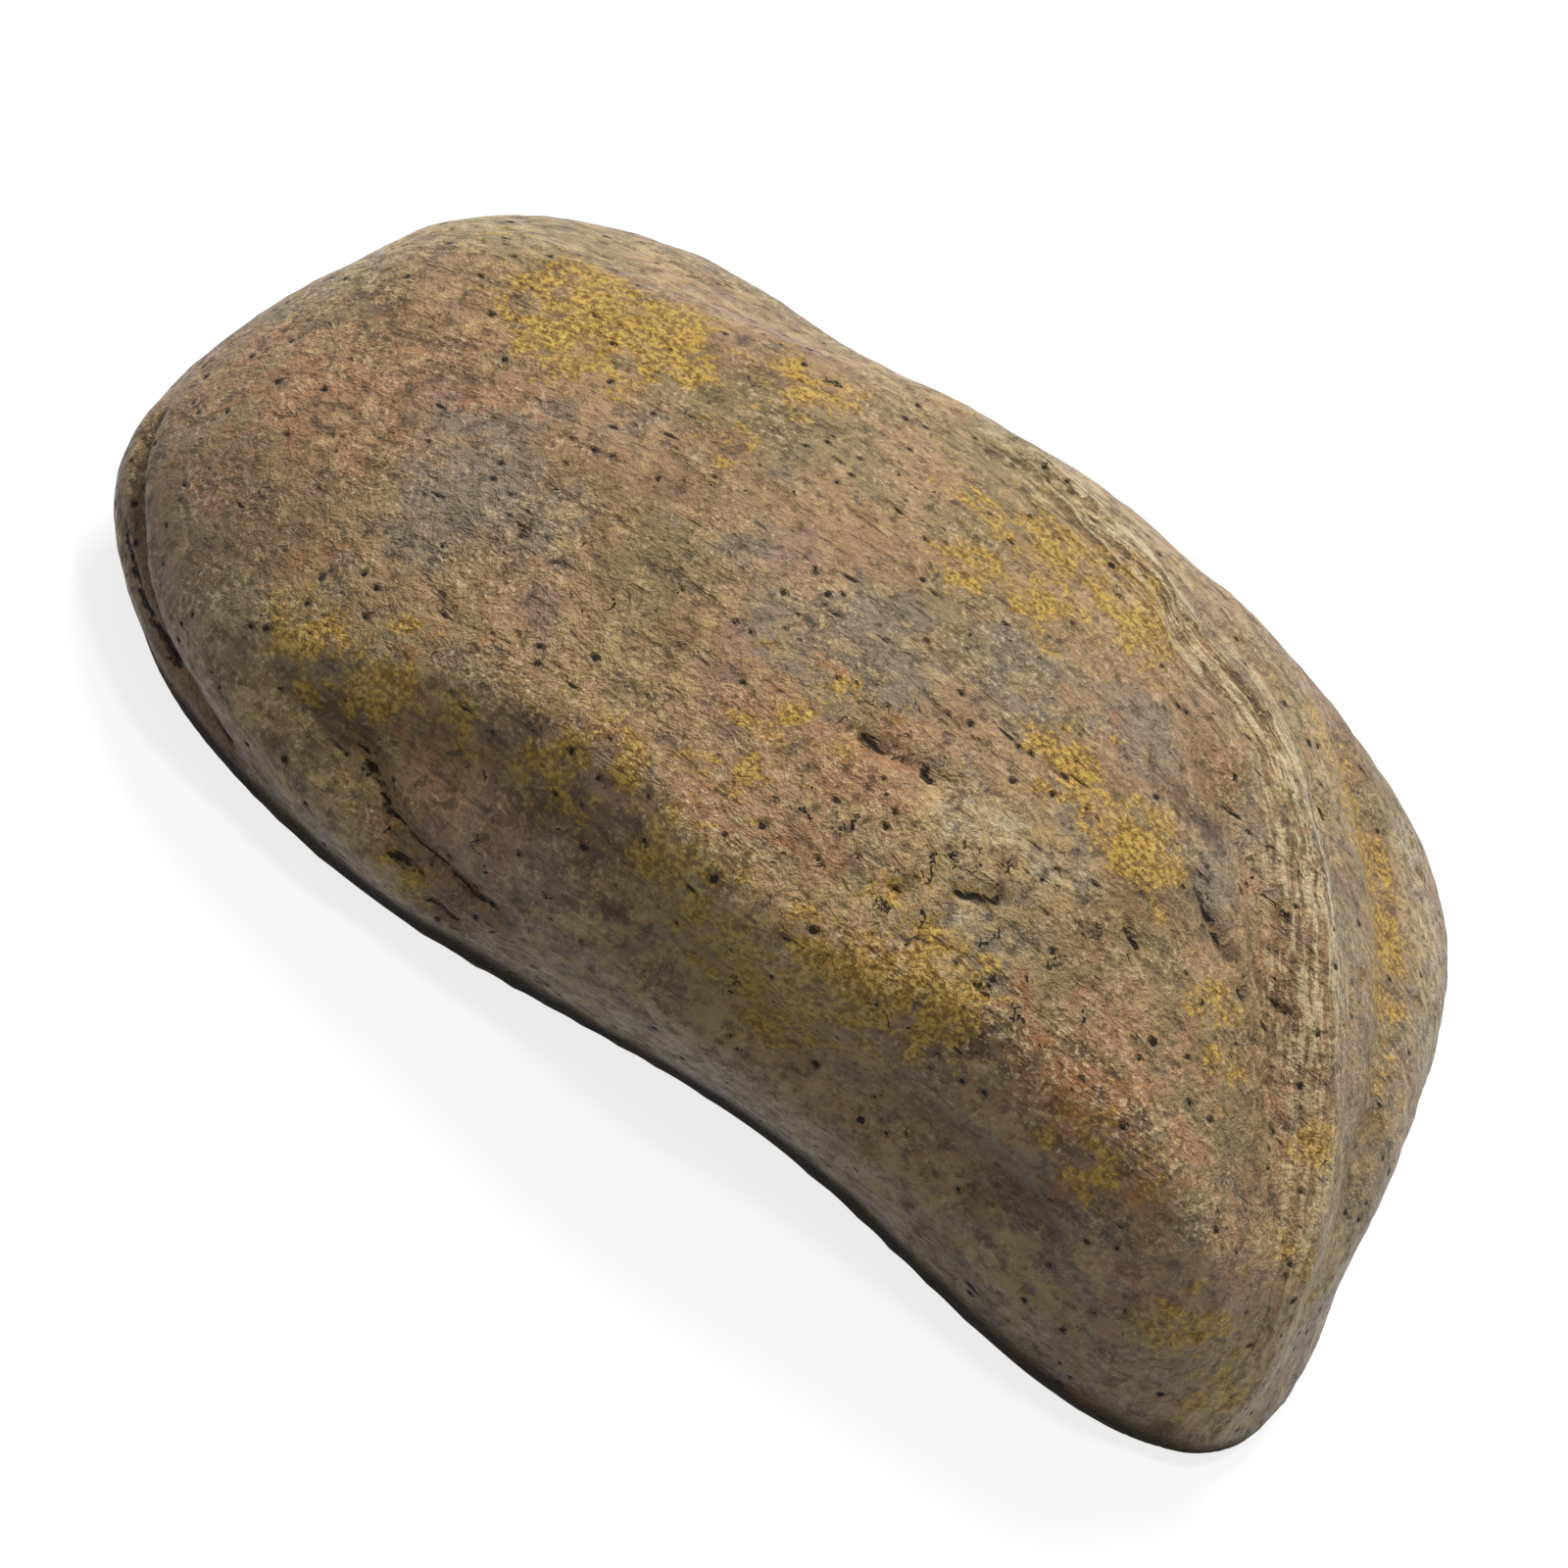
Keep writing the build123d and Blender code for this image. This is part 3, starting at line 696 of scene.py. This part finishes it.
    # pin holes and short slits, in clusters, and cracks
    cluster = ease(tree, noise(tree, place, 0.11, 2.0), 0.40, 0.58, 0.25, 1.0)
    holes, dips = zip(*(
        use(tree, groups["pores"], Place=where, Spacing=spacing, Radius=radius, Share=times(tree, cluster, share))
        for where, spacing, radius, share in (
            (place, 4.5, 0.08, 0.5), (place, 1.9, 0.14, 0.9), (streaky, 1.5, 0.12, 0.4),
        )
    ))
    share = calc(tree, "MULTIPLY_ADD", coats["cracked"], 0.16, 0.27)
    lines = use(tree, groups["cracks"], Place=place, Spacing=3.0, Width=0.04, Share=share)
    frayed = calc(tree, "SUBTRACT", noise(tree, stretched, 1.3, 4.0, 0.7), 0.5)
    drawn = ease(tree, calc(tree, "MULTIPLY_ADD", frayed, 1.6, coats["crack"]), 0.74, 0.98)
    dark = largest(tree, *holes, lines, drawn)
    colour = mix(tree, times(tree, dark, 0.95), colour, paint(20, 14, 10))

    height = calc(tree, "ADD", times(tree, grain, 1.1), times(tree, fine, 0.6))
    height = calc(tree, "MULTIPLY_ADD", dents, 1.6, height)
    height = calc(tree, "ADD", height, times(tree, fibres, coats["grooved"], 1.3))
    height = calc(tree, "SUBTRACT", height, times(tree, streaks, 0.35))
    height = calc(tree, "SUBTRACT", height, times(tree, largest(tree, *dips, dark), 1.2))
    roughness = largest(tree, ease(tree, grain, 0.35, 0.65, 0.54, 0.32), dark, coats["foot_shade"])
    finish_shader(tree, shader, colour, roughness, height, 1.0, 0.7)
    shader.inputs["Specular IOR Level"].default_value = 0.34
    return material


def base_paint(groups):
    """The flat base: smooth blurred paint, cream smears, a bead, a split and a worn yellow border."""
    material, tree, place, shader = new_material("base_paint")
    wide = noise(tree, place, 0.045, 2.0, 0.5, 0.6)
    medium = noise(tree, place, 0.30, 4.0, 0.6, 0.8)
    fine = use(tree, groups["speckle"], Place=place, Size=0.5)
    swirled = times(tree, calc(tree, "SUBTRACT", medium, 0.5), 1.2)

    def swirl(name, low, high, strength=1.0):
        return ease(tree, calc(tree, "ADD", attribute(tree, name), swirled), low, high, 0.0, strength)

    colour = mix(tree, ease(tree, wide, 0.40, 0.62), paint(122, 105, 98), paint(144, 124, 108))
    for mask, tone in (
        (swirl("tan_and_highlight", 0.30, 0.75, 0.90), paint(178, 146, 102)),
        (swirl("umber_and_shade", 0.35, 0.80, 0.85), paint(106, 84, 52)),
        (swirl("cream", 0.48, 0.66, 0.80), paint(208, 178, 122)),
        (swirl("ochre", 0.36, 0.50, 0.90), paint(176, 148, 56)),
        (ease(tree, attribute(tree, "bead"), 0.35, 0.75, 0.0, 0.75), paint(204, 182, 138)),
        (ease(tree, fine, 0.46, 0.34, 0.0, 0.45), paint(84, 68, 52)),
    ):
        colour = mix(tree, mask, colour, tone)
    holes, dips = use(tree, groups["pores"], Place=place, Spacing=5.5, Radius=0.13, Share=0.35)
    dark = largest(tree, holes, swirl("crack", 0.45, 0.60))
    colour = mix(tree, dark, colour, paint(32, 24, 18))
    height = calc(tree, "ADD", times(tree, medium, 0.5), times(tree, fine, 0.15))
    height = calc(tree, "SUBTRACT", height, times(tree, largest(tree, dips, dark), 0.8))
    finish_shader(tree, shader, colour, ease(tree, medium, 0.35, 0.65, 0.30, 0.50), height, 0.5, 0.4)
    return material


def pocket_paint(groups):
    """The pocket: rough olive brown, with pits and the faint steps of its mould on the walls."""
    material, tree, place, shader = new_material("pocket_paint")
    wide = noise(tree, place, 0.12, 4.0, 0.6)
    grain = use(tree, groups["speckle"], Place=place, Size=1.0)
    steps = noise(tree, vector(tree, "MULTIPLY", place, (0.05, 0.05, 0.7)), 1.0, 2.0, 0.4)
    holes, dips = use(tree, groups["pores"], Place=place, Spacing=2.6, Radius=0.16, Share=0.4)
    colour = mix(tree, ease(tree, wide, 0.35, 0.65), paint(70, 55, 36), paint(126, 106, 70))
    for mask, tone in (
        (ease(tree, grain, 0.5, 0.3, 0.0, 0.6), paint(38, 29, 20)),
        (ease(tree, grain, 0.56, 0.68, 0.0, 0.5), paint(150, 130, 92)),
        (ease(tree, steps, 0.56, 0.66, 0.0, 0.4), paint(40, 31, 20)),
        (holes, paint(22, 17, 12)),
    ):
        colour = mix(tree, mask, colour, tone)
    height = calc(tree, "SUBTRACT", calc(tree, "ADD", grain, steps), dips)
    finish_shader(tree, shader, colour, 0.6, height, 0.7, 0.5)
    return material


def key_metal(groups):
    """Nickel silver, brushed along the key and tarnished where it is sunk."""
    material, tree, place, shader = new_material("nickel_silver")
    turn = {"Vector": place, "Angle": -radians(key_turn)}
    turned = add(tree, "ShaderNodeVectorRotate", turn, rotation_type="Z_AXIS").outputs[0]
    strokes = noise(tree, vector(tree, "MULTIPLY", turned, (0.10, 2.2, 1.0)), 3.0, 3.0, 0.6)
    fine = use(tree, groups["speckle"], Place=place, Size=0.7)
    tarnish = noise(tree, place, 0.22, 4.0, 0.6)
    sunk = attribute(tree, "sunk")
    colour = mix(tree, ease(tree, tarnish, 0.35, 0.65), paint(154, 144, 112), paint(188, 179, 150))
    for mask, tone in (
        (ease(tree, strokes, 0.40, 0.60, 0.0, 0.35), paint(206, 199, 176)),
        (times(tree, sunk, ease(tree, fine, 0.3, 0.6, 1.0, 0.6)), paint(108, 97, 70)),
        (ease(tree, fine, 0.36, 0.26, 0.0, 0.6), paint(78, 68, 48)),
    ):
        colour = mix(tree, mask, colour, tone)
    roughness = calc(tree, "ADD", ease(tree, strokes, 0.35, 0.65, 0.20, 0.34), times(tree, sunk, 0.18))
    height = calc(tree, "ADD", times(tree, strokes, 0.6), times(tree, fine, 0.5))
    finish_shader(tree, shader, colour, roughness, height, 0.25, 0.05)
    shader.inputs["Metallic"].default_value = 1.0
    return material


# ---- the key's shape ----

def stipple():
    """The tree that knurls the bow's sunk field with small rounded grains and wears the whole key a little."""
    tree, given, result, place = surface_tree("stipple", {
        "Grain Spacing": 0.55, "Grain Height": 0.10, "Wear Height": 0.03, "Seed": 5.0,
    })
    distance = cells(tree, place, given["Grain Spacing"])[0]
    grains = times(tree, ease(tree, distance, 0.65, 0.15), given["Grain Height"], named(tree, "field"))
    wear = times(tree, calc(tree, "SUBTRACT", noise(tree, place, 0.5, 3.0), 0.5), given["Wear Height"])
    raise_surface(tree, given, result, calc(tree, "ADD", grains, wear))
    return tree


def finished_key(material):
    """The key: the CAD's form with worn, rounded edges and a stippled field round its bare plaque."""
    key = even_copy("spare_key", "finished_key", key_voxel, 2)
    points, normals = read_points(key.data)
    level = np.abs(points[:, 2] - key_middle)
    upright = np.abs(normals[:, 2])
    field = np.clip((0.075 - np.abs(level - key_field)) / 0.03, 0, 1) * np.clip((upright - 0.9) / 0.08, 0, 1)
    grooves = np.clip((0.7 - level) / 0.2, 0, 1) * upright
    store(key.data, "field", field)
    store(key.data, "sunk", np.maximum(field, grooves))
    roughen(key, stipple(), material)
    key.data.materials.clear()
    key.data.materials.append(material)
    key.data.shade_smooth()
    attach(key, "key")
    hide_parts("spare_key")


# ---- the studio ----

ambient_light = 0.33
floor_half, floor_drop = 2.5, 0.0001
floor_grey, floor_glow = 0.24, 0.80


def lamp(name, place, size, power):
    """A round lamp that faces the origin."""
    light = bpy.data.lights.new(name, "AREA")
    light.shape = "DISK"
    light.size = size
    light.energy = power
    made = bpy.data.objects.new(name, light)
    bpy.context.scene.collection.objects.link(made)
    made.location = place
    made.rotation_mode = "QUATERNION"
    made.rotation_quaternion = (-Vector(place)).to_track_quat("-Z", "Y")


def seen_rays(tree, *kinds):
    """1 for rays that only see a thing, so that its whiteness doesn't light the object."""
    path = add(tree, "ShaderNodeLightPath").outputs
    return largest(tree, *(path[kind] for kind in kinds))


def backdrop():
    """A white world and a white floor that keeps the object's shadow and is clear from below."""
    scene = bpy.context.scene
    scene.world = bpy.data.worlds.new("studio")
    scene.world.use_nodes = True
    tree = scene.world.node_tree
    tree.nodes.clear()
    seen = seen_rays(tree, "Is Camera Ray", "Is Transmission Ray", "Is Glossy Ray")
    ambient = add(tree, "ShaderNodeBackground", {0: (1, 1, 1, 1), 1: ambient_light}).outputs[0]
    white = add(tree, "ShaderNodeBackground", {0: (1, 1, 1, 1), 1: 1.0}).outputs[0]
    both = add(tree, "ShaderNodeMixShader", {0: seen, 1: ambient, 2: white}).outputs[0]
    add(tree, "ShaderNodeOutputWorld", {0: both})

    mesh = bpy.data.meshes.new("floor")
    corners = [(x * floor_half, y * floor_half, 0) for x, y in ((-1, -1), (1, -1), (1, 1), (-1, 1))]
    mesh.from_pydata(corners, [], [(0, 1, 2, 3)])
    floor = bpy.data.objects.new("floor", mesh)
    scene.collection.objects.link(floor)
    floor.location.z = -floor_drop
    material = bpy.data.materials.new("floor")
    material.use_nodes = True
    tree = material.node_tree
    tree.nodes.clear()
    seen = seen_rays(tree, "Is Camera Ray", "Is Glossy Ray")
    matt = add(tree, "ShaderNodeBsdfDiffuse", {0: (floor_grey, floor_grey, floor_grey, 1)}).outputs[0]
    glow = add(tree, "ShaderNodeEmission", {0: (1, 1, 1, 1), 1: times(tree, seen, floor_glow)}).outputs[0]
    lit = add(tree, "ShaderNodeAddShader", {0: matt, 1: glow}).outputs[0]
    clear = add(tree, "ShaderNodeBsdfTransparent").outputs[0]
    below = add(tree, "ShaderNodeNewGeometry").outputs["Backfacing"]
    both = add(tree, "ShaderNodeMixShader", {0: below, 1: lit, 2: clear}).outputs[0]
    add(tree, "ShaderNodeOutputMaterial", {0: both})
    mesh.materials.append(material)


def place_camera():
    """The camera of the photograph, rolled so that the rock lies across the picture."""
    aim, distance = Vector((-1.7, -6.0, 11.8)) * MM, 378.0 * MM
    elevation, turn, roll = radians(36.34), radians(3.01), radians(34.79)
    forward = Vector((-sin(turn) * cos(elevation), cos(turn) * cos(elevation), -sin(elevation)))
    right = Vector((cos(turn), sin(turn), 0))
    up = right.cross(forward)
    right, up = right * cos(roll) + up * sin(roll), up * cos(roll) - right * sin(roll)
    lens = bpy.data.cameras.new("camera")
    lens.sensor_width = 36
    lens.lens = 106.8
    lens.clip_start, lens.clip_end = 0.01, 20
    camera = bpy.data.objects.new("camera", lens)
    bpy.context.scene.collection.objects.link(camera)
    facing = Matrix((right, up, -forward)).transposed().to_4x4()
    camera.matrix_world = Matrix.Translation(aim - forward * distance) @ facing
    bpy.context.scene.camera = camera


effects = {"pores": pores(), "cracks": cracks(), "speckle": speckle(), "blotches": blotches()}
rock_skin({"skin": skin_paint(effects), "base": base_paint(effects), "pocket": pocket_paint(effects)})
finished_key(key_metal(effects))
bpy.context.scene.view_settings.view_transform = "Standard"
backdrop()
lamp("overhead", (-0.18, 0.45, 0.80), 0.45, 8.6)
lamp("glint", (0.08, -0.16, 0.9), 0.14, 2.8)
place_camera()
